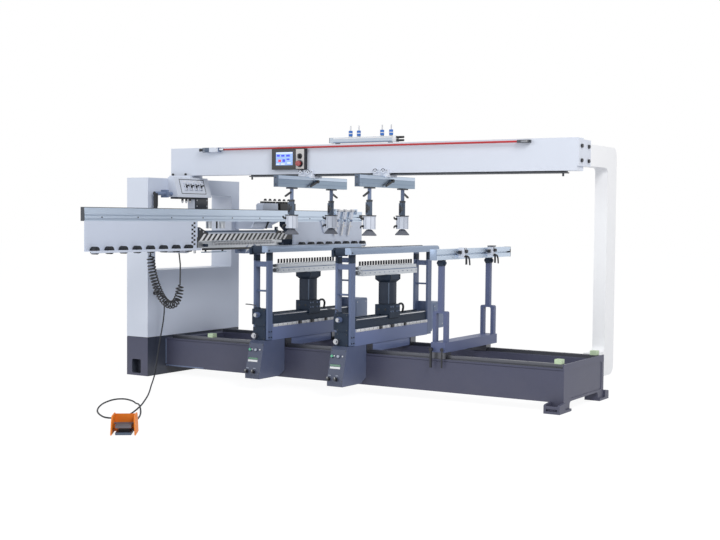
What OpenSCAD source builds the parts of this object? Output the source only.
// Line boring machine with two vertical heads, one tilting side head,
// a fence with wheels, overhead presses and a foot pedal.
// Lengths are millimetres, +Z is up, X runs along the bed and Y runs from front to back.
// Places are counted from the cabinet's front right floor corner and shifted to the row
// origin, the bottom centre of the whole object, by the module place.

/* [Cabinet] */
// Thickness of the upright cabinet along the bed
cab_w = 185; // [150:250]
// Depth of the cabinet from front to back
cab_d = 995; // [800:1200]
// Height of the cabinet
cab_h = 1331; // [1200:1450]
// Height of its grey base
cab_base_h = 261; // [200:320]
// Window's distance from the front edge
win_front = 75; // [60:120]
// Window's distance from the back edge
win_back = 90; // [60:120]
// Height of the window sill
win_z0 = 710; // [650:760]
// Height of the window's upper edge
win_z1 = 1225; // [1150:1260]
// Corner radius of the window
win_r = 12; // [5:40]

/* [Bed] */
// Length of the bed
bed_l = 2896; // [2600:3200]
// Front face of the bed
bed_y0 = 182; // [150:220]
// Back face of the bed
bed_y1 = 807; // [760:840]
// Underside of the bed
bed_z0 = 53; // [40:80]
// Top of the bed's beams
bed_z1 = 246; // [220:260]
// Width of each long beam of the bed
bed_beam_w = 80; // [60:100]
// Width of a guide way
way_w = 24; // [20:35]
// Height of a guide way above the beam
way_h = 22; // [15:30]
// Width of an anchor slot in a foot
slot_w = 18; // [14:22]
// Length of an anchor slot in a foot
slot_l = 36; // [24:44]

/* [Overhead beam and column] */
// Front face of the beam
beam_y0 = 450; // [420:480]
// Depth of the beam
beam_d = 100; // [80:140]
// Underside of the beam
beam_z0 = 1359; // [1340:1380]
// Height of the beam
beam_h = 190; // [160:220]
// Distance from the beam's right end to the bed's right end
beam_short = 51; // [20:100]
// Width of the C column along the bed
col_w = 80; // [60:120]
// Depth of the column's upright
col_d = 155; // [120:180]
// Height of the column's arms
col_arm_h = 128; // [100:160]

/* [Fence] */
// Face of the fence
fence_x = 430; // [400:460]
// Front end of the fence
fence_y0 = -1025; // [-1200:-900]
// Back end of the fence
fence_y1 = 2025; // [1900:2200]
// Underside of the fence profile
fence_z0 = 1043; // [1000:1080]
// Height of the fence profile
fence_h = 78; // [60:90]
// Thickness of the fence profile
fence_t = 28; // [20:50]
// Height of the table plane
table_z = 895; // [850:950]
// Diameter of a fence wheel
wheel_d = 46; // [40:60]
// Width of a fence wheel
wheel_w = 36; // [25:40]
// Distance between fence wheels
wheel_pitch = 120; // [110:125]

/* [Side head] */
// Height of the tilting axis
tilt_z = 905; // [890:920]
// Place of the tilting axis along the bed
tilt_x = 395; // [380:405]
// Distance between drill spindles
pitch = 32; // [25:32]
// Number of spindles on a head
spindles = 21; // [11:2:21]
// Diameter of a bit socket
socket_d = 8; // [6:10]
// Depth of a bit socket
socket_l = 20; // [15:25]
// Height of the side head's spindle axes
side_z = 897; // [890:902]

/* [Carriages] */
// Rest place of the first carriage along the bed
car_1 = 940; // [800:1100]
// Rest place of the second carriage along the bed
car_2 = 1552; // [1400:1700]
// Width of a cross beam and its console
car_w = 110; // [90:120]
// Front end of a cross beam
car_y0 = 45; // [40:60]
// Back end of a cross beam
car_y1 = 957; // [900:1000]
// Underside of a cross beam
car_z0 = 302; // [295:310]
// Top of a cross beam
car_z1 = 384; // [370:400]
// Rest place of the lift motor from front to back
lift_y = 525; // [480:560]
// Middle of the spindle row from front to back
row_y = 504; // [480:530]
// Diameter of a lift rod
rod_d = 24; // [16:26]
// Stroke of a vertical head
lift_stroke = 75; // [40:75]

/* [Support carriage] */
// Rest place of the support carriage along the bed
sup_x = 2103; // [1900:2200]
// Width of the support's base tube
sup_w = 93; // [80:100]
// Width of the support's top profile
sup_top_w = 45; // [40:60]

/* [Presses] */
// Middle of the first press bar along the bed
bar_1 = 984; // [900:1100]
// Middle of the second press bar along the bed
bar_2 = 1556; // [1450:1650]
// Width of a press bar
bar_w = 32; // [30:40]
// Height of a press bar
bar_h = 73; // [60:80]
// Distance from the beam's underside down to the top of a press bar
bar_drop = 19; // [17:30]
// Diameter of a press body
press_d = 80; // [60:90]
// Diameter of a press foot's pad
foot_d = 92; // [70:100]
// Rest height of a press foot's pad
foot_z = 965; // [955:990]

/* [Control panel] */
// Left edge of the panel
hmi_x0 = 711; // [680:740]
// Width of the panel
hmi_w = 265; // [220:300]
// Height of the panel's lower edge above the beam's underside
hmi_up = 30; // [10:40]
// Height of the panel
hmi_h = 136; // [120:138]
// Depth of the panel
hmi_d = 30; // [28:70]

/* [Pedal] */
// Width of the pedal housing
ped_w = 124; // [100:160]
// Length of the pedal housing
ped_l = 130; // [110:200]
// Height of the pedal housing
ped_h = 95; // [80:120]
// Turn of the pedal about the vertical
ped_turn = 36; // [0:60]
// Diameter of the pedal's cord
cord_d = 9; // [7:12]

/* [Curly hose] */
// Diameter of the hose's tube
curl_tube = 9; // [5:10]
// Diameter of a curl's middle line
curl_d = 46; // [36:60]
// Number of curls
curls = 28; // [20:30]

/* [Hidden] */
$fn = 48;
white = [0.88, 0.89, 0.9];
grey = [0.45, 0.47, 0.52];
slate = [0.33, 0.37, 0.45];
dark = [0.14, 0.15, 0.17];
black = [0.05, 0.05, 0.06];
alu = [0.72, 0.75, 0.78];
silver = [0.82, 0.83, 0.85];
red = [0.75, 0.08, 0.07];
green = [0.1, 0.6, 0.35];
orange = [0.85, 0.4, 0.06];
run = 0.05;
gap = 0.4;
beam_z1 = beam_z0 + beam_h;
beam_x1 = bed_l - beam_short;
beam_y1 = beam_y0 + beam_d;
way_z1 = bed_z1 + way_h;
way_front = bed_y0 + bed_beam_w / 2;
way_back = bed_y1 - bed_beam_w / 2;
foot_x = bed_l - 36;
foot_w = 48;
foot_reach = 85;
ped_x = 1332;
ped_y = -1662;
ped_c = cos(ped_turn);
ped_s = sin(ped_turn);
min_y = ped_y - ped_l / 2 * ped_c - ped_w / 2 * ped_s;
max_x = foot_x + foot_w;
org_x = (max_x - cab_w) / 2;
org_y = (fence_y1 + min_y) / 2;

module place() { translate([-org_x, -org_y, 0]) children(); }
module box(x0, x1, y0, y1, z0, z1) {
  translate([x0, y0, z0]) cube([x1 - x0, y1 - y0, z1 - z0]);
}
module rod_x(x0, x1, y, z, d) {
  translate([x0, y, z]) rotate([0, 90, 0]) cylinder(d = d, h = x1 - x0);
}
module rod_y(x, y0, y1, z, d) {
  translate([x, y0, z]) rotate([-90, 0, 0]) cylinder(d = d, h = y1 - y0);
}
module rod_z(x, y, z0, z1, d) {
  translate([x, y, z0]) cylinder(d = d, h = z1 - z0);
}
// An outline in X and Z drawn from front to back
module along_y(y0, y1) {
  translate([0, y1, 0]) rotate([90, 0, 0]) linear_extrude(y1 - y0) children();
}
// An outline in Y and Z drawn along the bed
module along_x(x0, x1) {
  translate([x0, 0, 0]) rotate([90, 0, 90]) linear_extrude(x1 - x0) children();
}
module round_rect(x0, x1, y0, y1, r) {
  translate([x0 + r, y0]) square([x1 - x0 - 2 * r, y1 - y0]);
  translate([x0, y0 + r]) square([x1 - x0, y1 - y0 - 2 * r]);
  for (x = [x0 + r, x1 - r], y = [y0 + r, y1 - r]) translate([x, y]) circle(r = r);
}

// Bed: two long beams, end members, guide ways, feet and end bumpers
plate_t = 14;
cheek_t = 14;
leg_w = 90;
leg_r = 22;
end_t = 8;
rim_w = 36;
rim_t = 3;
bump = [42, 44, 26];
module foot(y0, y1, ys) {
  difference() {
    box(foot_x - foot_w, foot_x + foot_w, y0, y1, 0, plate_t);
    for (s = [-1, 1]) rod_z(foot_x, ys + s * (slot_l - slot_w) / 2, -1, plate_t + 1, slot_w);
    box(foot_x - slot_w / 2, foot_x + slot_w / 2,
      ys - (slot_l - slot_w) / 2, ys + (slot_l - slot_w) / 2, -1, plate_t + 1);
  }
}
// Two cheeks stand on a foot's plate and lean against the bed
module foot_cheeks(tip, root) {
  nose = tip + sign(root - tip) * 6;
  for (x = [foot_x - foot_w, foot_x + foot_w - cheek_t]) along_x(x, x + cheek_t)
    polygon([[tip, plate_t - 1], [tip, bed_z0 - 9], [nose, bed_z0 - 3], [root, bed_z0 + 4],
      [root, plate_t - 1]]);
}
module end_outline() {
  translate([bed_y0, bed_z0]) square([bed_y1 - bed_y0, way_z1 - bed_z0]);
  for (s = [0, 1]) translate([s ? bed_y1 : bed_y0, 0]) mirror([s, 0]) difference() {
    square([leg_w + leg_r, bed_z0 + 1]);
    translate([leg_w, -1]) square([leg_r + 1, bed_z0 - leg_r + 1]);
    translate([leg_w + leg_r, bed_z0 - leg_r]) circle(r = leg_r);
  }
}
module bed() color(slate) place() {
  difference() {
    box(0, bed_l - end_t, bed_y0, bed_y1, bed_z0, bed_z1);
    box(80, bed_l - 80, bed_y0 + bed_beam_w, bed_y1 - bed_beam_w, bed_z0 - 1, bed_z1 + 1);
    box(-1, bed_l, bed_y0 - 1, bed_y0 + 4, bed_z1 - 14, bed_z1 - 10);
  }
  difference() {
    along_x(bed_l - end_t, bed_l) end_outline();
    along_x(bed_l - rim_t, bed_l + 1)
      round_rect(bed_y0 + leg_w, bed_y1 - rim_w, bed_z0 + 14, way_z1 - rim_w, 16);
  }
  for (y = [way_front, way_back]) {
    box(40, bed_l - end_t, y - way_w / 2, y + way_w / 2, bed_z1, way_z1);
    for (x = [352, bed_l - 66]) translate([x, y - bump[1] / 2, way_z1]) cube(bump);
  }
  foot(bed_y0 - foot_reach, bed_y0 + leg_w, bed_y0 - foot_reach / 2);
  foot(bed_y1 - leg_w, bed_y1 + foot_reach - 26, bed_y1 + foot_reach / 2 - 13);
  foot_cheeks(bed_y0 - foot_reach, bed_y0);
  foot_cheeks(bed_y1 + foot_reach - 26, bed_y1);
  for (y = [bed_y0, bed_y1 - leg_w]) box(foot_x - foot_w, bed_l - end_t, y, y + leg_w, plate_t, bed_z0);
}

// Cabinet: upright hollow frame with a through window, grey base and cord gland
gland_y = 66;
gland_z = 557;
gland_l = 28;
recess_x = -cab_w / 2 - 7;
recess_w = 78;
recess_z = [16, 110];
recess_in = 55;
recess_r = 10;
module cabinet() color(white) place() {
  difference() {
    box(-cab_w, 0, 0, cab_d, 0, cab_h);
    along_x(-cab_w - 1, 1) round_rect(win_front, cab_d - win_back, win_z0, win_z1, win_r);
    along_y(-1, recess_in)
      round_rect(recess_x - recess_w / 2, recess_x + recess_w / 2, recess_z[0], recess_z[1], recess_r);
    difference() {
      box(-cab_w - 1, 1, -1, cab_d + 1, cab_base_h - 2, cab_base_h + 1);
      box(-cab_w + 2, -2, 2, cab_d - 2, cab_base_h - 3, cab_base_h + 2);
    }
  }
  rod_x(0, 16, gland_y, gland_z, 26);
  rod_x(16, gland_l, gland_y, gland_z, 18);
}

// Overhead beam with its spacer, end plate, bolts and the rail for the press bars
rail_x0 = 490;
rail_x1 = beam_x1 - col_w;
rail_y = beam_y0 + beam_d / 2;
module overhead_beam() color(white) place() {
  box(-cab_w, beam_x1, beam_y0, beam_y1, beam_z0, beam_z1);
  box(-cab_w, 0, beam_y0 - 20, beam_y1 + 20, cab_h, beam_z0);
  box(beam_x1, beam_x1 + 10, beam_y0, beam_y1 + 90, beam_z0 + 27, beam_z1 - 9);
  for (y = [beam_y0 + 40, beam_y1 + 50], z = [beam_z0 + 59, beam_z1 - 47])
    rod_x(beam_x1 + 10, beam_x1 + 20, y, z, 22);
  for (x = [-165, -50]) rod_y(x, beam_y0 - 8, beam_y0, beam_z0 + 8, 16);
  box(rail_x0, rail_x1, rail_y - 15, rail_y + 15, beam_z0 - 7, beam_z0);
  box(rail_x0, rail_x1, rail_y - 35, rail_y + 35, beam_z0 - 14, beam_z0 - 7);
  for (x = [rail_x0 + 15, rail_x1 - 15]) rod_z(x, rail_y - 20, beam_z0 - 32, beam_z0 - 14, 12);
}

// Column: C frame behind the bed's right end
col_y1 = 1110;
col_z0 = 120;
col_z1 = beam_z1 - 29;
col_r = 60;
col_in_r = 34;
col_sill = 150;
module column() color(white) place() {
  in_y = col_y1 - col_d;
  in_z1 = col_z1 - col_arm_h;
  along_x(beam_x1 - col_w, beam_x1) difference() {
    union() {
      translate([beam_y1, col_z0]) square([col_y1 - beam_y1 - col_r, col_z1 - col_z0]);
      translate([beam_y1, col_z0 + col_r]) square([col_y1 - beam_y1, col_z1 - col_z0 - 2 * col_r]);
      for (z = [col_z0 + col_r, col_z1 - col_r]) translate([col_y1 - col_r, z]) circle(r = col_r);
    }
    round_rect(beam_y1 - col_in_r - 1, in_y, col_z0 + col_sill, in_z1, col_in_r);
    translate([beam_y1 - 1, col_z0 - 1]) square([bed_y1 - beam_y1 + 1, col_sill + col_in_r + 1]);
  }
}

// Fence: slotted profile with end caps, sheet panels, wheels and brackets
gap_y0 = -12;
gap_y1 = 1085;
flip_x = fence_x + 16;
flip_z = fence_z0 + fence_h + 7;
flip_y = [1655, 1750, 1845];
flip_ears = [1598, 1898];
sheet_x = fence_x - 4;
sheet_z0 = table_z - 29;
module fence_profile() color(alu) place() {
  difference() {
    box(fence_x - fence_t, fence_x, fence_y0 + 4, fence_y1 - 4, fence_z0, fence_z0 + fence_h);
    for (z = [fence_z0 + 8, fence_z0 + 30]) {
      box(fence_x - 9, fence_x + 1, fence_y0 - 1, fence_y1 + 1, z, z + 8);
      box(fence_x - 14, fence_x - 8, fence_y0 - 1, fence_y1 + 1, z - 4, z + 12);
    }
  }
  box(fence_x - fence_t, fence_x, fence_y0, fence_y0 + 4, fence_z0, fence_z0 + fence_h);
  box(fence_x - fence_t, fence_x, fence_y1 - 4, fence_y1, fence_z0, fence_z0 + fence_h);
  for (y = flip_ears) difference() {
    box(fence_x, fence_x + 28, y, y + 12, fence_z0 + fence_h - 22, flip_z + 12);
    rod_y(flip_x, y - 1, y + 13, flip_z, 12 + 2 * run);
  }
}
wheel_z = table_z - wheel_d / 2;
wheel_l0 = fence_y0 + 62;
wheel_r0 = fence_y1 - 30 - 7 * wheel_pitch;
function wheel_y(i) = i < 8 ? wheel_l0 + i * wheel_pitch : wheel_r0 + (i - 8) * wheel_pitch;
hang_x = 310;
back_x = fence_x - fence_t;
ledge_w = 44;
ledge_t = 5;
lip_h = 9;
hang_t = 12;
brace_y = [20, 945];
module fence_panels() color(white) place() {
  difference() {
    union() {
      box(sheet_x, fence_x, fence_y0 + 4, gap_y0, sheet_z0, fence_z0);
      box(sheet_x, fence_x, gap_y1, fence_y1 - 4, sheet_z0, fence_z0);
      box(fence_x, fence_x + ledge_w, fence_y0 + 10, gap_y0 - 10, sheet_z0, sheet_z0 + ledge_t);
      box(fence_x, fence_x + ledge_w, gap_y1 - 10, fence_y1 - 10, sheet_z0, sheet_z0 + ledge_t);
    }
    for (i = [0:15]) box(fence_x, fence_x + ledge_w - 1, wheel_y(i) - wheel_d / 2 - 4,
      wheel_y(i) + wheel_d / 2 + 4, sheet_z0 - 1, sheet_z0 + ledge_t + 1);
  }
  for (y = [[fence_y0 + 10, gap_y0 - 10], [gap_y1 - 10, fence_y1 - 10]])
    box(fence_x + ledge_w - 1, fence_x + ledge_w + 3, y[0], y[1], sheet_z0 - lip_h, sheet_z0 + ledge_t);
  for (y = [gap_y0, gap_y1 - hang_t]) difference() {
    along_y(y, y + hang_t) polygon([[hang_x, fence_z0 + 30], [back_x, fence_z0 + 30], [back_x, fence_z0],
      [sheet_x, fence_z0], [sheet_x, sheet_z0 + 6], [365, sheet_z0 + 6], [365, 960], [hang_x, 1010]]);
    rod_y(tilt_x, y - 1, y + hang_t + 1, tilt_z, 20 + 2 * run);
  }
  for (y = brace_y) along_y(y, y + hang_t) polygon([[0, fence_z0 - 58], [0, fence_z0 + 72],
    [back_x, fence_z0 + 62], [back_x, fence_z0 + 3], [250, fence_z0 - 58]]);
  box(250, sheet_x, -345, gap_y0 - 4, sheet_z0, sheet_z0 + 4);
  terminal_box();
  tilt_bracket();
}
// Terminal box with a row of plugs on the back of the profile
term_y = 745;
term_z0 = fence_z0 + 44;
term_z1 = fence_z0 + fence_h + 51;
plug_y = [28, 60, 92, 124, 156, 216, 248, 280, 312, 344, 376];
module terminal_box() {
  along_x(back_x - 60, back_x) polygon([[term_y, term_z0], [term_y, term_z1 - 12], [term_y + 20, term_z1],
    [term_y + 180, term_z1], [term_y + 180, term_z0]]);
  box(back_x - 40, back_x - 10, term_y + 179, term_y + 211, term_z0 + 12, term_z1 - 20);
  box(back_x - 54, back_x, term_y + 210, term_y + 400, term_z0 + 6, term_z1);
  for (y = plug_y) box(back_x - 46, back_x - 16, term_y + y, term_y + y + 16, term_z1 - 1, term_z1 + 13);
}
// Bracket, cylinders and rod that hang behind the profile over the side head
tilt_drop = 47;
module tilt_bracket() {
  along_x(back_x - 12, back_x) polygon([[616, fence_z0 - tilt_drop], [858, fence_z0 - tilt_drop],
    [846, fence_z0 + 30], [668, fence_z0 + 30]]);
  rod_x(back_x - 30, back_x - 12, 790, fence_z0 - 20, 14);
  for (c = [[175, 40], [313, 46]]) {
    rod_z(back_x - 24, c[0], fence_z0 - tilt_drop, fence_z0 + 50, c[1]);
    box(back_x - 24, back_x, c[0] - 12, c[0] + 12, fence_z0 + 10, fence_z0 + 40);
  }
  rod_z(back_x - 10, 241, fence_z0 - tilt_drop, fence_z0 + 40, 12);
  box(back_x - 10, back_x, 231, 251, fence_z0 + 10, fence_z0 + 40);
}
module fence_wheels() color(black) place() {
  for (i = [0:15]) {
    rod_x(fence_x, fence_x + 6, wheel_y(i), wheel_z, 14);
    rod_x(fence_x + 6, fence_x + 6 + wheel_w, wheel_y(i), wheel_z, wheel_d);
  }
}

// Flip stops: three slanted arms on one shaft in front of the fence
arm_drop = 188;
arm_lean = 56;
module flip_stops() color(silver) place() {
  rod_y(flip_x, flip_ears[0] + 2, flip_ears[1] + 10, flip_z, 12);
  for (y = flip_y) translate([0, y, flip_z]) {
    rod_y(flip_x, -15, 15, 0, 22);
    along_x(flip_x - 6, flip_x + 6)
      polygon([[-10, 0], [10, 0], [10 - arm_lean, -arm_drop], [-10 - arm_lean, -arm_drop]]);
    along_x(flip_x - 9, flip_x + 10) polygon([[-14, -8], [14, -8], [-2, -62], [-30, -62]]);
    along_x(flip_x - 6, flip_x + 6) polygon([[-42, -110], [0, -116], [4, -124], [-34, -124]]);
  }
}

// Side head: cradle with guide rods, and gearbox with spindles sliding on them
arm_t = 12;
arm_y = [gap_y0 + 14, gap_y1 - 26];
guide_y = [110, 965];
guide_z = tilt_z - 20;
guide_d = 20;
side_y = (gap_y0 + gap_y1) / 2;
guard_x = tilt_x + 25;
guard_t = 5;
guard_z0 = tilt_z + 11;
guard_z1 = tilt_z + 57;
tie_x = tilt_x - 140;
tie_z0 = tilt_z - 37;
clamp_y = 868;
module side_cradle() color(dark) place() {
  for (y = arm_y) along_y(y, y + arm_t) polygon([[tie_x, tie_z0], [tilt_x - 5, tie_z0],
    [guard_x + guard_t, guard_z0 - 1], [guard_x + guard_t, guard_z1], [tilt_x, guard_z1],
    [tilt_x - 35, tilt_z + 25], [tie_x, tilt_z]]);
  rod_y(tilt_x, gap_y0 + 1, arm_y[0], tilt_z, 20);
  rod_y(tilt_x, arm_y[1] + arm_t, gap_y1 - 1, tilt_z, 20);
  box(tie_x, tie_x + 30, arm_y[0], arm_y[1] + arm_t, tie_z0, tie_z0 + 32);
  box(guard_x, guard_x + guard_t, arm_y[0], arm_y[1] + arm_t, guard_z0, guard_z1);
  for (y = guide_y) rod_x(tie_x + 30, guard_x - 2, y, guide_z, guide_d);
  // Gusset and clamp on the guard's upper edge
  along_x(guard_x - 7, guard_x + guard_t) polygon([[arm_y[0], guard_z1 - 12], [arm_y[0], guard_z1 + 43],
    [arm_y[0] + 20, guard_z1 + 43], [arm_y[0] + 110, guard_z1 + 5], [arm_y[0] + 110, guard_z1 - 12]]);
  along_x(guard_x - 7, guard_x + guard_t) translate([clamp_y, guard_z1])
    polygon([[0, -12], [0, 44], [26, 44], [26, 18], [160, 14], [160, -12]]);
}
gear_x0 = tilt_x - 65;
gear_x1 = tilt_x - 5;
gear_z0 = tilt_z - 39;
gear_z1 = tilt_z + 7;
motor_y = [560, 760];
motor_h = 44;
module side_head() color(alu) place() {
  difference() {
    union() {
      box(gear_x0, gear_x1, guide_y[0] - 25, guide_y[1] + 25, gear_z0, gear_z1);
      along_y(motor_y[0], motor_y[1]) round_rect(gear_x0 - 30, gear_x1, gear_z0 - motor_h, gear_z0 + 6, 6);
      rod_y(gear_x0 + 15, motor_y[0] - 40, motor_y[0], gear_z0 - motor_h / 2, 30);
    }
    for (y = guide_y) rod_x(gear_x0 - 31, gear_x1 + 1, y, guide_z, guide_d + 2 * run);
  }
  for (i = [0:spindles - 1]) {
    y = side_y + (i - (spindles - 1) / 2) * pitch;
    difference() {
      union() {
        rod_x(gear_x1, gear_x1 + 14, y, side_z, 20);
        rod_x(gear_x1 + 14, gear_x1 + 30, y, side_z, 17);
      }
      rod_x(gear_x1 + 30 - socket_l, gear_x1 + 31, y, side_z, socket_d);
    }
  }
}

// Valve box with a sloped face and four lever valves
vb_y0 = 200;
vb_y1 = 560;
vb_z0 = 1205;
face_dx = 35;
face_h = 120;
vb_z1 = vb_z0 + 15 + face_h;
face_turn = 90 - atan2(face_dx, face_h);
face_x = 88;
valve_z = vb_z0 + 73;
valve_x = face_x - face_dx * (valve_z - vb_z0 - 15) / face_h;
function valve_y(i) = 300 + 52 * i;
module valve_box() color(white) place() {
  difference() {
    along_y(vb_y0, vb_y1) polygon([[0, vb_z0], [face_x, vb_z0], [face_x, vb_z0 + 15],
      [face_x - face_dx, vb_z0 + 15 + face_h], [0, vb_z1]]);
    for (i = [0:3]) translate([valve_x, valve_y(i), valve_z]) rotate([0, face_turn, 0])
      translate([-16, -9, -20]) cube([32, 18, 30]);
  }
  for (i = [0:3]) translate([valve_x, valve_y(i), valve_z]) rotate([0, face_turn, 0])
    difference() {
      translate([-26, -15, -6]) cube([52, 30, 18]);
      translate([-16, -9, -8]) cube([32, 18, 30]);
      rotate([90, 0, 0]) translate([0, 4, -20]) cylinder(d = 6 + 2 * run, h = 40);
    }
  box(0, 64, 230, 410, vb_z0 - 12, vb_z0);
  for (y = [300, 340, 380]) rod_z(46, y, vb_z0 - 24, vb_z0 - 12, 16);
  box(0, 62, 412, 556, vb_z0 - 77, vb_z0);
  rod_y(34, 26, vb_y0, vb_z0 + 21, 26);
  box(0, 60, 130, 142, vb_z0 - 5, vb_z0 + 47);
  rod_z(34, 40, vb_z0 - 65, vb_z0 + 21, 30);
}
module valve_lever(i) color(black) place() translate([valve_x, valve_y(i), valve_z])
  rotate([0, face_turn, 0]) {
    rotate([90, 0, 0]) translate([0, 4, -14.6]) cylinder(d = 6, h = 29.2);
    translate([-6, -7, -2]) cube([12, 14, 12]);
    translate([-4, -5, 9]) cube([8, 10, 26]);
  }
module valve_lever_1() valve_lever(0);
module valve_lever_2() valve_lever(1);
module valve_lever_3() valve_lever(2);
module valve_lever_4() valve_lever(3);

// Control panel with an emergency button and a selector
hmi_y0 = beam_y0 - hmi_d;
hmi_z0 = beam_z0 + hmi_up;
hmi_btn_x = hmi_x0 + hmi_w - 39;
estop_z = hmi_z0 + 38;
switch_z = hmi_z0 + 86;
module hmi_panel() color(dark) place() {
  difference() {
    box(hmi_x0, hmi_x0 + hmi_w, hmi_y0, beam_y0, hmi_z0, hmi_z0 + hmi_h);
    box(hmi_x0 + 32, hmi_x0 + hmi_w - 95, hmi_y0 - 1, hmi_y0 + 2, hmi_z0 + 27, hmi_z0 + hmi_h - 21);
    rod_y(hmi_btn_x, hmi_y0 - 1, hmi_y0 + 26, estop_z, 12 + 2 * run);
    rod_y(hmi_btn_x, hmi_y0 - 1, hmi_y0 + 26, switch_z, 12 + 2 * run);
  }
}
module hmi_estop() color(red) place() {
  rod_y(hmi_btn_x, hmi_y0 - 12, hmi_y0 + 18, estop_z, 12);
  rod_y(hmi_btn_x, hmi_y0 - 26, hmi_y0 - 12, estop_z, 36);
}
module hmi_switch() color(black) place() {
  rod_y(hmi_btn_x, hmi_y0 - gap, hmi_y0 + 18, switch_z, 12);
  rod_y(hmi_btn_x, hmi_y0 - 10, hmi_y0 - gap, switch_z, 28);
  box(hmi_btn_x - 4, hmi_btn_x + 4, hmi_y0 - 22, hmi_y0 - 10, switch_z - 13, switch_z + 13);
}

// Air manifold on top of the beam
man_x0 = 1130;
man_x1 = 1625;
man_y = rail_y;
man_z = beam_z1 + 43;
module manifold() color(alu) place() {
  box(man_x0, man_x1, man_y - 20, man_y + 20, beam_z1 + 8, man_z);
  for (x = [man_x0 + 40, man_x1 - 60]) box(x, x + 20, man_y - 14, man_y + 14, beam_z1, beam_z1 + 8);
  for (x = [1278, 1340, 1514, 1580]) {
    rod_z(x, man_y, man_z, man_z + 8, 20);
    rod_z(x, man_y, man_z + 8, man_z + 42, 26);
    rod_z(x, man_y, man_z + 42, man_z + 74, 9);
  }
  for (z = [beam_z1 + 16, beam_z1 + 36]) rod_x(man_x1, man_x1 + 48, man_y, z, 14);
}

// Rope pull stop along the beam's front face
rope_y = 428;
rope_z = beam_z1 - 17;
rope_x1 = 2482;
module rope_stop() color(red) place() {
  box(130, 262, rope_y - 16, beam_y0, rope_z - 16, rope_z + 14);
  rod_x(262, 302, rope_y, rope_z, 18);
  rod_x(92, 130, rope_y, rope_z, 20);
  rod_x(302, rope_x1, rope_y, rope_z, 7);
  box(rope_x1, rope_x1 + 78, rope_y - 10, rope_y + 10, rope_z - 8, rope_z + 8);
  box(rope_x1 + 58, rope_x1 + 78, rope_y - 10, beam_y0, rope_z - 8, rope_z + 8);
}

// Carriages: cross beam with slideway and gear case, console, frame, saddle, head and knobs
way_clear = 0.3;
case_y0 = -12;
hand_z = [331, 462];
hand_dx = [-30, -14];
module carriage_beam(cx) color(slate) place() {
  difference() {
    box(cx - car_w / 2, cx + car_w / 2, car_y0, car_y1, car_z0, car_z1);
    box(cx - 22, cx + 22, car_y0 + 30, car_y1 - 30, car_z0 + 12, car_z1 + 1);
  }
  for (y = [way_front, way_back]) difference() {
    box(cx - car_w / 2, cx + car_w / 2, y - 34, y + 34, bed_z1 + 3, car_z0);
    box(cx - car_w, cx + car_w, y - way_w / 2 - way_clear, y + way_w / 2 + way_clear,
      bed_z1, way_z1 + way_clear);
  }
  for (s = [-1, 1]) {
    box(cx + s * 34 - 12, cx + s * 34 + 12, car_y0 + 4, car_y1 - 4, car_z1, 440);
    box(cx + s * 34 - 10, cx + s * 34 + 10, car_y0 + 4, car_y1 - 4, 440, 466);
  }
  box(cx + 47, cx + 55, car_y0, car_y1, car_z1, 402);
  box(cx - 46, cx + 46, car_y0, car_y0 + 30, car_z1, 466);
  difference() {
    box(cx - 40, cx + 40, case_y0, car_y0, car_z0, 500);
    for (i = [0, 1]) rod_y(cx + hand_dx[i], case_y0 - 1, case_y0 + 40, hand_z[i], 10 + 2 * run);
    box(cx - 42, cx + 42, case_y0 - 1, case_y0 + 3, 384, 392);
  }
}
module carriage_beam_1() carriage_beam(car_1);
module carriage_beam_2() carriage_beam(car_2);

con_top = [-45, 285];
con_low = [-90, 95];
con_tilt = atan2(con_top[0] - con_low[0], con_top[1] - con_low[1]);
con_z = 245;
btn_dx = [-40, 4];
// Along the console face's outward normal, from a point on the face
module on_face(cx, dx, z) {
  translate([cx + dx, con_low[0] + (z - con_low[1]) * tan(con_tilt), z]) rotate([90 - con_tilt, 0, 0])
    children();
}
module console(cx) color(slate) place() {
  difference() {
    along_x(cx - car_w / 2, cx + car_w / 2) polygon([[-90, 68], con_low, con_top, [-30, 302], [180, 302],
      [180, 100], [120, 68]]);
    for (i = [0, 1]) on_face(cx, btn_dx[i], con_z) translate([0, 0, -14]) cylinder(d = 16 + 2 * gap, h = 30);
    on_face(cx, -12, 185) translate([-38, -15, -2]) cube([76, 30, 10]);
  }
  for (i = [0, 1]) on_face(cx, btn_dx[i], con_z) difference() {
    translate([0, 0, -0.5]) cylinder(d = 24, h = 4.5);
    translate([0, 0, -2]) cylinder(d = 16 + 2 * gap, h = 10);
  }
  for (dx = [-42, 10]) on_face(cx, dx, 112) {
    translate([0, 0, -0.5]) cylinder(d = 26, h = 8);
    cylinder(d = 20, h = 24);
  }
}
module console_1() console(car_1);
module console_2() console(car_2);
module con_button(cx, i) {
  place() on_face(cx, btn_dx[i], con_z) translate([0, 0, -7]) cylinder(d = 16, h = 17);
}
module start_button_1() color(green) con_button(car_1, 0);
module start_button_2() color(green) con_button(car_2, 0);
module stop_button_1() color(silver) con_button(car_1, 1);
module stop_button_2() color(silver) con_button(car_2, 1);

module handwheel(cx, i) color(silver) place() {
  rod_y(cx + hand_dx[i], case_y0 - 8, case_y0 + 34, hand_z[i], 10);
  rod_y(cx + hand_dx[i], case_y0 - 24, case_y0 - 1, hand_z[i], 34);
  rod_y(cx + hand_dx[i], case_y0 - 34, case_y0 - 24, hand_z[i], 24);
  rod_y(cx + hand_dx[i] + 10, case_y0 - 42, case_y0 - 24, hand_z[i], 8);
}
module handwheel_x_1() handwheel(car_1, 0);
module handwheel_x_2() handwheel(car_2, 0);
module handwheel_y_1() handwheel(car_1, 1);
module handwheel_y_2() handwheel(car_2, 1);

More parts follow.
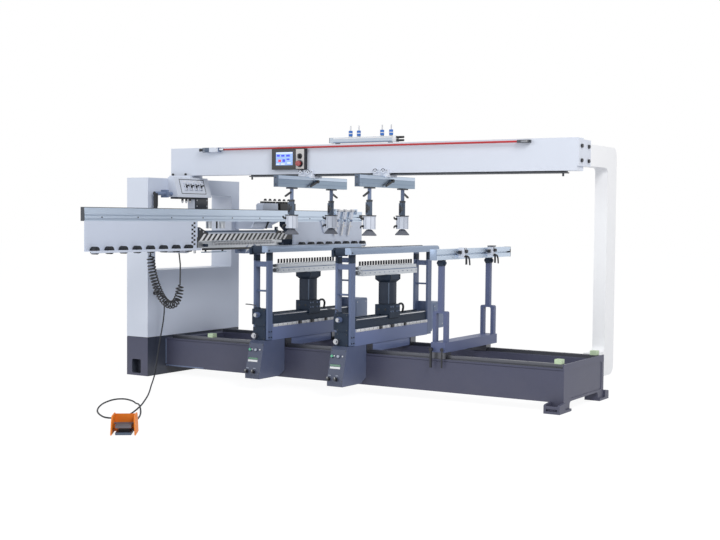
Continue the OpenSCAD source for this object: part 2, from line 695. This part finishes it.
post_w = 15;
post_d = 50;
rail_z0 = 855;
rail_ya = -50;
rail_yb = 1060;
roll_y = -26;
roll_z = 870;
roll_d = 48;
module frame(cx) color(grey) place() {
  for (y = [car_y0 - post_d, car_y1]) for (s = [-1, 1])
    box(cx + (s < 0 ? -56 : 41), cx + (s < 0 ? -41 : 56), y, y + post_d, car_z0 + 3, rail_z0);
  box(cx - 41, cx + 41, -2, 30, 764, 796);
  box(cx - 41, cx + 41, car_y1 + 10, car_y1 + 40, 764, 796);
  rod_x(cx - 41, cx + 41, 18, 612, 12);
  rod_x(cx - 41, cx + 41, car_y1 + 25, 640, 12);
  difference() {
    along_y(rail_ya, rail_yb) {
      translate([cx + 41, rail_z0]) square([43, 22]);
      translate([cx + 41, rail_z0]) square([25, table_z - rail_z0]);
      translate([cx + 66, table_z - 18]) circle(r = 18);
    }
    rod_x(cx + 40, cx + 50, roll_y, roll_z, 10 + 2 * run);
  }
  rod_y(cx - 52, roll_y + 10, rail_yb, table_z - 21, 42);
  difference() {
    box(cx - 56, cx - 41, rail_ya, rail_ya + 46, rail_z0 - 15, roll_z + 12);
    rod_x(cx - 57, cx - 40, roll_y, roll_z, 10 + 2 * run);
  }
  along_x(cx - 30, cx + 56) {
    round_rect(car_y1 + 66, car_y1 + 230, 335, 512, 14);
    translate([car_y1 + 66, 335]) square([40, 177]);
  }
  box(cx - 56, cx + 56, car_y1 + post_d, car_y1 + 66, 320, 520);
}
module frame_1() frame(car_1);
module frame_2() frame(car_2);
module roller(cx) color(black) place() {
  rod_x(cx - 54, cx + 49, roll_y, roll_z, 10);
  rod_x(cx - 28, cx + 38, roll_y, roll_z, roll_d);
}
module roller_1() roller(car_1);
module roller_2() roller(car_2);

lift_rod_y = [lift_y - 26, lift_y + 26];
sad_z0 = 430;
sad_z1 = 528;
row_half = (spindles - 1) / 2 * pitch + 36;
module saddle(cx) color(dark) place() {
  difference() {
    union() {
      box(cx - 54, cx + 54, lift_y - 65, lift_y + 65, 466 + gap, sad_z1);
      for (s = [-1, 1]) box(cx + s * 50 - 4, cx + s * 50 + 4, lift_y - 65, lift_y + 65, 444, 468);
      box(cx - 21, cx + 21, lift_y - 60, lift_y + 60, sad_z0, 468);
    }
    for (y = lift_rod_y) rod_z(cx, y, sad_z0 - 1, sad_z1 + 1, rod_d + 2 * run);
  }
}
module saddle_1() saddle(car_1);
module saddle_2() saddle(car_2);
flange_z = 670;
drive_z = 719;
drive_h = 36;
carrier_h = 21;
nose_h = 6;
chuck_h = 26;
chuck_d = socket_d + 5;
carrier_z = drive_z + drive_h;
nose_z = carrier_z + carrier_h;
chuck_z = nose_z + nose_h;
head_top = chuck_z + chuck_h;
module head(cx) color(alu) place() {
  for (y = lift_rod_y) rod_z(cx, y, sad_z0 - lift_stroke - 29, sad_z1 + gap, rod_d);
  along_z_box(cx, lift_y, 39, 52, sad_z1 + gap, flange_z, 10);
  motor_flange(cx);
  box(cx - 18, cx + 18, lift_y + 52, lift_y + 76, flange_z - 84, flange_z - 24);
  box(cx - 36, cx + 36, row_y - row_half + 17, row_y + row_half - 17, drive_z, carrier_z);
  box(cx - 26, cx + 26, row_y - row_half + 10, row_y + row_half - 10, carrier_z, nose_z);
  rod_y(cx - 8, row_y - row_half + 1, row_y - row_half + 17, drive_z + drive_h / 2, 26);
  rod_y(cx - 8, row_y - row_half - 4, row_y - row_half + 10, carrier_z + carrier_h / 2, 17);
  for (i = [0:spindles - 1]) {
    y = row_y + (i - (spindles - 1) / 2) * pitch;
    difference() {
      union() {
        rod_z(cx, y, nose_z, chuck_z, 17);
        rod_z(cx, y, chuck_z, head_top, chuck_d);
      }
      rod_z(cx, y, head_top - socket_l, head_top + 1, socket_d);
    }
  }
}
// Flange between motor and gearbox, with its lower edges slanted in to the motor
module motor_flange(cx) {
  slant = 17;
  intersection() {
    along_x(cx - 56, cx + 56) translate([lift_y, flange_z]) slanted_foot(64, slant, drive_z - flange_z);
    along_y(lift_y - 65, lift_y + 65) translate([cx, flange_z]) slanted_foot(56, slant, drive_z - flange_z);
  }
}
module slanted_foot(half, slant, h) {
  polygon([[slant - half, 0], [half - slant, 0], [half, slant], [half, h], [-half, h], [-half, slant]]);
}
module along_z_box(x, y, hx, hy, z0, z1, r) {
  translate([0, 0, z0]) linear_extrude(z1 - z0) round_rect(x - hx, x + hx, y - hy, y + hy, r);
}
module head_1() head(car_1);
module head_2() head(car_2);

// Support carriage with two stops and a lock lever
sup_y0 = 177;
sup_y1 = 890;
sup_z0 = way_z1 + 18;
sup_z1 = sup_z0 + 59;
sup_post = 30;
sup_top_z = 832;
arch_z1 = 528;
arch_leg = 22;
arch_top = 12;
arch_r = 10;
arch_d = 34;
bridge_y = [196, 836];
sup_face = sup_x + sup_top_w / 2;
module support_base() color(slate) place() {
  box(sup_x - sup_w / 2, sup_x + sup_w / 2, sup_y0, sup_y1, sup_z0, sup_z1);
  for (y = [way_front, way_back]) difference() {
    box(sup_x - sup_w / 2, sup_x + sup_w / 2, y - 34, y + 34, bed_z1 + 3, sup_z0);
    box(sup_x - sup_w, sup_x + sup_w, y - way_w / 2 - way_clear, y + way_w / 2 + way_clear,
      bed_z1, way_z1 + way_clear);
  }
  for (y = bridge_y) {
    along_y(y, y + arch_d) difference() {
      intersection() {
        round_rect(sup_x - sup_w / 2, sup_x + sup_w / 2, sup_z1 - 40, arch_z1, arch_r);
        translate([sup_x - sup_w / 2, sup_z1]) square([sup_w, arch_z1 - sup_z1]);
      }
      round_rect(sup_x - sup_w / 2 + arch_leg, sup_x + sup_w / 2 - arch_leg, sup_z1 - 40,
        arch_z1 - arch_top, arch_r);
    }
    box(sup_x - sup_post / 2, sup_x + sup_post / 2, y + 2, y + 32, arch_z1, sup_top_z);
    box(sup_x - 17, sup_x + 17, y - 2, y + 36, sup_top_z - 36, sup_top_z);
    for (s = [-1, 1]) rod_x(sup_x + s * 22 - 6, sup_x + s * 22 + 6, y + 17, sup_top_z - 19, 20);
  }
  difference() {
    box(sup_x - sup_top_w / 2, sup_face, 110, 1130, sup_top_z, table_z);
    box(sup_face - 8, sup_face + 1, 109, 1131, table_z - 37, table_z - 27);
    box(sup_face - 14, sup_face - 7, 109, 1131, table_z - 42, table_z - 22);
  }
  for (x = [sup_x - 34, sup_x + 34]) rod_y(x, sup_y0 - 12, sup_y0, sup_z0 + 18, 18);
}
stop_y = [400, 800];
module stop(i) color(white) place() {
  y = stop_y[i];
  box(sup_face + gap, sup_face + 38, y - 18, y + 18, table_z - 53, table_z + 7);
  box(sup_face - 8, sup_face + 2, y - 16, y + 16, table_z - 37 + gap, table_z - 27 - gap);
  box(sup_face - 13.5, sup_face - 7.5, y - 16, y + 16, table_z - 41, table_z - 23);
  rod_x(sup_face + 38, sup_face + 54, y, table_z - 15, 20);
  rod_x(sup_face + 38, sup_face + 50, y, table_z - 45, 14);
  box(sup_face + 42, sup_face + 50, y - 6, y + 6, table_z - 95, table_z - 45);
}
module stop_front() stop(0);
module stop_rear() stop(1);
lock_x = sup_x - 34;
lock_y = sup_y0 - 12;
module lock_lever() color(black) place() {
  rod_y(lock_x, lock_y - 20, lock_y - gap, sup_z0 + 18, 22);
  box(lock_x - 6, lock_x + 6, lock_y - 16, lock_y - 6, sup_z0 - 90, sup_z0 + 14);
}

// Press bars with their trolleys, levers, presses and feet
bar_z1 = beam_z0 - bar_drop;
bar_z0 = bar_z1 - bar_h;
bar_ya = [92, 140];
bar_yb = [900, 830];
slot_n = 12;
slot_t = 22;
lever_y = 517;
lever_z = bar_z1 - 30;
flange_z0 = beam_z0 - 14;
module clamp_bar(bx, i) color(alu) place() {
  difference() {
    box(bx - bar_w / 2, bx + bar_w / 2, bar_ya[i], bar_yb[i], bar_z0, bar_z1);
    box(bx - slot_n / 2, bx + slot_n / 2, bar_ya[i] + 20, bar_yb[i] - 20, bar_z0 - 1, bar_z0 + 14);
    box(bx - slot_t / 2, bx + slot_t / 2, bar_ya[i] + 20, bar_yb[i] - 20, bar_z0 + 12, bar_z0 + 26);
  }
  box(bx - 70, bx + 42, rail_y - 60, rail_y + 48, bar_z1 - 8, flange_z0 - gap);
  for (s = [-1, 1]) {
    box(bx - 70, bx + 42, rail_y + s * 42 - 6, rail_y + s * 42 + 6, flange_z0 - 2, beam_z0 - 1);
    box(bx - 70, bx + 42, rail_y + s * 32 - 16, rail_y + s * 32 + 16, beam_z0 - 6.6, beam_z0 - 1);
  }
  box(bx - 70, bx + 42, beam_y0 - 12, beam_y0 - gap, bar_z1 - 8, beam_z0 + 25);
  for (x = [bx - 46, bx + 12]) rod_y(x, beam_y0 - 26, beam_y0 - 12, beam_z0 + 11, 26);
  rod_x(bx + bar_w / 2, bx + bar_w / 2 + 6, lever_y, lever_z, 22);
}
module clamp_bar_1() clamp_bar(bar_1, 0);
module clamp_bar_2() clamp_bar(bar_2, 1);
module bar_lever(bx) color(black) place() {
  x = bx + bar_w / 2 + 6 + gap;
  rod_x(x, x + 16, lever_y, lever_z, 22);
  translate([x + 4, lever_y, lever_z]) rotate([21, 0, 0]) translate([0, -92, -6]) cube([10, 90, 12]);
}
module bar_lever_1() bar_lever(bar_1);
module bar_lever_2() bar_lever(bar_2);

press_y = [264, 728, 284, 696];
press_z0 = foot_z + 40;
press_h = 81;
flange_t = 6;
neck_h = 94;
neck_z = press_z0 + press_h + flange_t;
stem_d = 20;
function press_x(i) = i < 2 ? bar_1 : bar_2;
module press(i) color(dark) place() {
  x = press_x(i);
  y = press_y[i];
  s = i % 2 == 0 ? -1 : 1;
  difference() {
    union() {
      box(x - 10.6, x + 10.6, y - 18, y + 18, bar_z0 + 12.4, bar_z0 + 24);
      box(x - 5.6, x + 5.6, y - 18, y + 18, bar_z0 - 1, bar_z0 + 13);
      box(x - 22, x + 22, y - 34, y + 34, bar_z0 - 10, bar_z0 - gap);
      rod_z(x, y, neck_z + neck_h, bar_z0 - 10, 24);
      rod_z(x, y, neck_z, neck_z + neck_h, 36);
      box(x - 10, x + 10, y - 30, y - 14, neck_z + 2, neck_z + 80);
      rod_z(x, y, neck_z - flange_t, neck_z, press_d + 8);
      rod_z(x, y, press_z0, neck_z - flange_t, press_d);
      ratchet(x, y, s);
    }
    rod_z(x, y, press_z0 - 5, neck_z - flange_t, stem_d + 2 * run);
  }
}
// Clamp screw and lever that hold a press on its bar, leaning down and out to one side
module ratchet(x, y, s) {
  translate([x, y, bar_z0 - 26]) rotate([s * -24, 0, 0])
    translate([-6, s < 0 ? -78 : 0, -5]) cube([12, 78, 9]);
}
module press_1() press(0);
module press_2() press(1);
module press_3() press(2);
module press_4() press(3);
module press_foot(i) color(grey) place() {
  x = press_x(i);
  y = press_y[i];
  rod_z(x, y, press_z0 - 2, neck_z - flange_t - 2, stem_d);
  translate([x, y, foot_z + 6]) cylinder(d1 = foot_d, d2 = 34, h = press_z0 - foot_z - 8);
  rod_z(x, y, foot_z, foot_z + 6, foot_d);
}
module foot_1() press_foot(0);
module foot_2() press_foot(1);
module foot_3() press_foot(2);
module foot_4() press_foot(3);

// Foot pedal: a guard round three sides, open above, with a base and a ribbed treadle
module at_pedal() { place() translate([ped_x, ped_y, 0]) rotate([0, 0, ped_turn]) children(); }
hinge_y = ped_l / 2 - 40;
hinge_z = 46;
pin_d = 10;
ped_wall = 6;
ped_lean = 5;
ped_base_w = 78;
ped_base_h = 12;
// Side view of the guard, and front view with leaning sides
module guard_side() polygon([[-ped_l / 2, 0], [ped_l / 2, 0], [ped_l / 2, ped_h - 12],
  [ped_l / 2 - 12, ped_h], [-ped_l / 2 + 14, ped_h], [-ped_l / 2, ped_h - 26]]);
module guard_front(half, z0, z1) polygon([[-half, z0], [half, z0], [half - ped_lean, z1],
  [-half + ped_lean, z1]]);
module pedal_housing() color(orange) at_pedal() {
  difference() {
    intersection() {
      along_x(-ped_w / 2, ped_w / 2) guard_side();
      along_y(-ped_l / 2, ped_l / 2) guard_front(ped_w / 2, 0, ped_h);
    }
    along_y(-ped_l / 2 - 1, ped_l / 2 - ped_wall) guard_front(ped_w / 2 - ped_wall, -1, ped_h + 1);
    rod_x(-ped_w / 2 - 1, ped_w / 2 + 1, hinge_y, hinge_z, pin_d + 2 * run);
  }
  box(-ped_base_w / 2, ped_base_w / 2, -ped_l / 2 + 8, ped_l / 2 - 1, 0, ped_base_h);
  box(-ped_base_w / 2 + 12, ped_base_w / 2 - 12, -15, ped_l / 2 - 1, ped_base_h, 24);
  rod_y(30, ped_l / 2 - 1, ped_l / 2 + 14, 40, 20);
}
tread_w = ped_base_w;
module treadle() color(dark) at_pedal() {
  rod_x(-ped_w / 2 + 4, ped_w / 2 - 4, hinge_y, hinge_z, pin_d);
  box(-tread_w / 2, tread_w / 2, -ped_l / 2 + 10, hinge_y + 2, 34, 48);
  for (y = [-ped_l / 2 + 14:22:hinge_y - 8]) box(-tread_w / 2, tread_w / 2, y, y + 8, 47, 51);
}

// Routes of the hoses: a ring frame carried along hand chosen points
function unit(v) = v / norm(v);
function catmull(a, b, c, d, t) = 0.5 * (2 * b + (c - a) * t + (2 * a - 5 * b + 4 * c - d) * t * t
  + (3 * b - a - 3 * c + d) * t * t * t);
function smooth(p, n) = [for (i = [0:len(p) - 2]) for (k = [0:n - 1])
  catmull(p[max(i - 1, 0)], p[i], p[i + 1], p[min(i + 2, len(p) - 1)], k / n), p[len(p) - 1]];
function heading(p, i) = unit(p[min(i + 1, len(p) - 1)] - p[max(i - 1, 0)]);
function side_of(t) = abs(t[2]) > 0.9 ? unit(cross(t, [0, 1, 0])) : unit(cross(t, [0, 0, 1]));
function carry(p, i, u) = let(t = heading(p, i), w = u - (u * t) * t) unit(w);
function frames(p) = [for (i = 0, u = side_of(heading(p, 0)); i < len(p); i = i + 1,
  u = i < len(p) ? carry(p, i, u) : u) u];
module tube(p, d, sides) {
  us = frames(p);
  n = len(p);
  pts = [for (i = [0:n - 1]) let(t = heading(p, i), v = cross(t, us[i])) for (k = [0:sides - 1])
    p[i] + d / 2 * (cos(360 * k / sides) * us[i] + sin(360 * k / sides) * v)];
  faces = concat([[for (k = [0:sides - 1]) k]],
    [for (i = [0:n - 2]) for (k = [0:sides - 1]) let(a = i * sides + k, b = i * sides + (k + 1) % sides)
      [a, a + sides, b + sides, b]],
    [[for (k = [sides - 1:-1:0]) (n - 1) * sides + k]]);
  polyhedron(points = pts, faces = faces, convexity = 10);
}

// Pedal cord from the cabinet's gland over the floor to the pedal
ped_in = [ped_x + 30 * ped_c - (ped_l / 2 + 14) * ped_s, ped_y + 30 * ped_s + (ped_l / 2 + 14) * ped_c, 40];
ped_out = [-ped_s, ped_c, 0];
cord_in = [gland_l, gland_y, gland_z];
cord_route = [cord_in + [cord_d, 0, 0], [52, 68, 552], [66, 74, 530], [72, 84, 470], [70, 78, 380],
  [66, 50, 250], [74, 10, 120], [110, -50, 40], [190, -160, 8], [326, -330, 6], [571, -632, 6],
  [755, -879, 6], [865, -1039, 6], [973, -1220, 6], [1012, -1320, 6], [1002, -1385, 6],
  [930, -1390, 6], [770, -1270, 6], [623, -1082, 6], [557, -923, 6], [585, -862, 6], [673, -887, 6],
  [764, -954, 8], [830, -1008, 17], [900, -1072, 17], [955, -1127, 8], [1027, -1208, 6],
  [1105, -1307, 8], ped_in + 90 * ped_out + [0, 0, -14], ped_in + 30 * ped_out,
  ped_in + cord_d * ped_out];
cord_pts = concat([cord_in], smooth(cord_route, 2), [ped_in]);
module pedal_cord() color(black) place() tube(cord_pts, cord_d, 8);

// Curly hose: straight ends, then a helix wound along a hanging middle line
curl_x = 300;
hose_a = [curl_x, -310, 866];
hose_b = [curl_x, -40, 866];
curl_path = [[curl_x, -310, 830], [curl_x, -304, 780], [curl_x, -284, 700], [curl_x, -246, 615],
  [curl_x, -195, 545], [curl_x, -135, 505], [curl_x, -75, 510], [curl_x, -36, 560], [curl_x, -24, 630]];
curl_line = smooth(curl_path, 12);
function part_len(p, i) = i == 0 ? 0 : norm(p[i] - p[i - 1]);
function sums(p) = [for (i = 0, s = 0; i < len(p); i = i + 1, s = i < len(p) ? s + part_len(p, i) : s) s];
curl_sum = sums(curl_line);
curl_len = curl_sum[len(curl_sum) - 1];
function seek(s, lo, hi) = hi - lo <= 1 ? lo : let(m = floor((lo + hi) / 2))
  curl_sum[m] <= s ? seek(s, m, hi) : seek(s, lo, m);
function line_at(s) = let(i = seek(s, 0, len(curl_sum) - 1), f = (s - curl_sum[i])
  / (curl_sum[i + 1] - curl_sum[i])) curl_line[i] + f * (curl_line[i + 1] - curl_line[i]);
function line_dir(s) = unit(line_at(min(s + 2, curl_len)) - line_at(max(s - 2, 0)));
rings = 8;
// The winding starts and ends on the middle line and opens to full width within one curl
function curl_r(a) = curl_d / 2 * min(1, a / 1, (curls - a) / 1);
function curl_at(a) = let(s = curl_len * a / curls, t = line_dir(s), v = cross(t, [1, 0, 0]))
  line_at(s) + curl_r(a) * (cos(360 * a) * [1, 0, 0] + sin(360 * a) * v);
curl_pts = [for (k = [0:curls * rings]) curl_at(k / rings)];
hose_pts = concat([hose_a, hose_a - [0, 0, curl_tube]], curl_pts,
  [[curl_x, -22, 700], [curl_x, -22, 760], [curl_x, -32, 820], hose_b - [0, 0, curl_tube], hose_b]);
// Least distance between points of neighbouring curls, less the tube's width
curl_gap = min([for (i = [0:len(curl_pts) - rings - 1]) for (j = [i + rings - 2:min(i + rings + 2,
  len(curl_pts) - 1)]) norm(curl_pts[j] - curl_pts[i])]) - curl_tube;
echo(curl_gap = curl_gap, curl_len = curl_len, org_x = org_x, org_y = org_y, min_y = min_y);
module curly_hose() color(black) place() tube(hose_pts, curl_tube, 6);

bed();
cabinet();
overhead_beam();
column();
fence_profile();
fence_panels();
fence_wheels();
valve_box();
hmi_panel();
manifold();
rope_stop();
curly_hose();
pedal_cord();
pedal_housing();
treadle();
hmi_estop();
hmi_switch();
valve_lever_1();
valve_lever_2();
valve_lever_3();
valve_lever_4();
flip_stops();
side_cradle();
side_head();
carriage_beam_1();
console_1();
frame_1();
saddle_1();
head_1();
handwheel_x_1();
handwheel_y_1();
start_button_1();
stop_button_1();
roller_1();
carriage_beam_2();
console_2();
frame_2();
saddle_2();
head_2();
handwheel_x_2();
handwheel_y_2();
start_button_2();
stop_button_2();
roller_2();
support_base();
stop_front();
stop_rear();
lock_lever();
clamp_bar_1();
clamp_bar_2();
bar_lever_1();
bar_lever_2();
press_1();
press_2();
press_3();
press_4();
foot_1();
foot_2();
foot_3();
foot_4();
